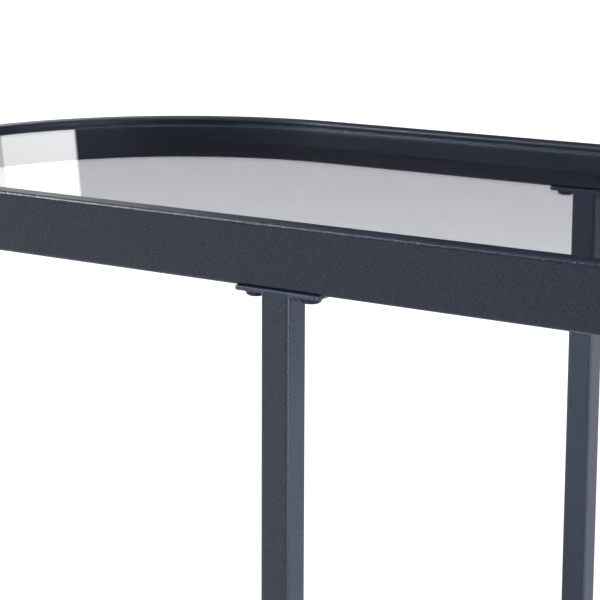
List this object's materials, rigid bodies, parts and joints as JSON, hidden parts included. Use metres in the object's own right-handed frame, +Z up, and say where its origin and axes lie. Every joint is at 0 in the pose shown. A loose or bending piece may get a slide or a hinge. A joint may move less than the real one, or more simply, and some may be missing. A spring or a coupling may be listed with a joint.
{
  "type": "nesting tables",
  "caption": "Nest of tall and low stadium-shaped steel and glass tables; the low one slides lengthwise between the legs of the tall one.",
  "frame": {"origin": "on the floor, under the centre of the pair's bounding box with the low table drawn out 292 mm", "axes": "+X along the tables towards the drawn-out low table, +Y across them towards the back, +Z up"},
  "size_m": [1.222, 0.333, 0.45],
  "materials": {
    "powder_coated_steel": "fine-textured anthracite black powder coat, satin",
    "clear_glass": "clear float glass, polished edge",
    "black_screw": "black zinc, semi-gloss",
    "clear_pad": "clear soft polyurethane",
    "black_plastic": "matt moulded polyethylene"
  },
  "bodies": {
    "large_table": {"large_rim_tube": "powder_coated_steel", "large_glass_ledge": "powder_coated_steel", "large_clear_pad_1": "clear_pad", "large_clear_pad_2": "clear_pad", "large_clear_pad_3": "clear_pad", "large_clear_pad_4": "clear_pad", "large_clear_pad_5": "clear_pad", "large_clear_pad_6": "clear_pad", "large_leg_front_left": "powder_coated_steel", "large_leg_plate_front_left": "powder_coated_steel", "large_foot_cap_front_left": "black_plastic", "large_screw_front_left_1": "black_screw", "large_screw_front_left_2": "black_screw", "large_leg_front_right": "powder_coated_steel", "large_leg_plate_front_right": "powder_coated_steel", "large_foot_cap_front_right": "black_plastic", "large_screw_front_right_1": "black_screw", "large_screw_front_right_2": "black_screw", "large_leg_back_left": "powder_coated_steel", "large_leg_plate_back_left": "powder_coated_steel", "large_foot_cap_back_left": "black_plastic", "large_screw_back_left_1": "black_screw", "large_screw_back_left_2": "black_screw", "large_leg_back_right": "powder_coated_steel", "large_leg_plate_back_right": "powder_coated_steel", "large_foot_cap_back_right": "black_plastic", "large_screw_back_right_1": "black_screw", "large_screw_back_right_2": "black_screw"},
    "large_glass": {"large_glass_top": "clear_glass"},
    "small_table": {"small_rim_tube": "powder_coated_steel", "small_glass_ledge": "powder_coated_steel", "small_clear_pad_1": "clear_pad", "small_clear_pad_2": "clear_pad", "small_clear_pad_3": "clear_pad", "small_clear_pad_4": "clear_pad", "small_leg_front_left": "powder_coated_steel", "small_leg_plate_front_left": "powder_coated_steel", "small_foot_cap_front_left": "black_plastic", "small_screw_front_left_1": "black_screw", "small_screw_front_left_2": "black_screw", "small_leg_front_right": "powder_coated_steel", "small_leg_plate_front_right": "powder_coated_steel", "small_foot_cap_front_right": "black_plastic", "small_screw_front_right_1": "black_screw", "small_screw_front_right_2": "black_screw", "small_leg_back_left": "powder_coated_steel", "small_leg_plate_back_left": "powder_coated_steel", "small_foot_cap_back_left": "black_plastic", "small_screw_back_left_1": "black_screw", "small_screw_back_left_2": "black_screw", "small_leg_back_right": "powder_coated_steel", "small_leg_plate_back_right": "powder_coated_steel", "small_foot_cap_back_right": "black_plastic", "small_screw_back_right_1": "black_screw", "small_screw_back_right_2": "black_screw"},
    "small_glass": {"small_glass_top": "clear_glass"}
  },
  "joints": [
    {"name": "small_table_slide", "type": "slide", "parent": "large_table", "child": "small_table", "axis": [1, 0, 0], "range_m": [-0.292, 0.66]},
    {"name": "large_glass_lift", "type": "slide", "parent": "large_table", "child": "large_glass", "axis": [0, 0, 1], "range_m": [0, 0.08]},
    {"name": "small_glass_lift", "type": "slide", "parent": "small_table", "child": "small_glass", "axis": [0, 0, 1], "range_m": [0, 0.02]}
  ]
}
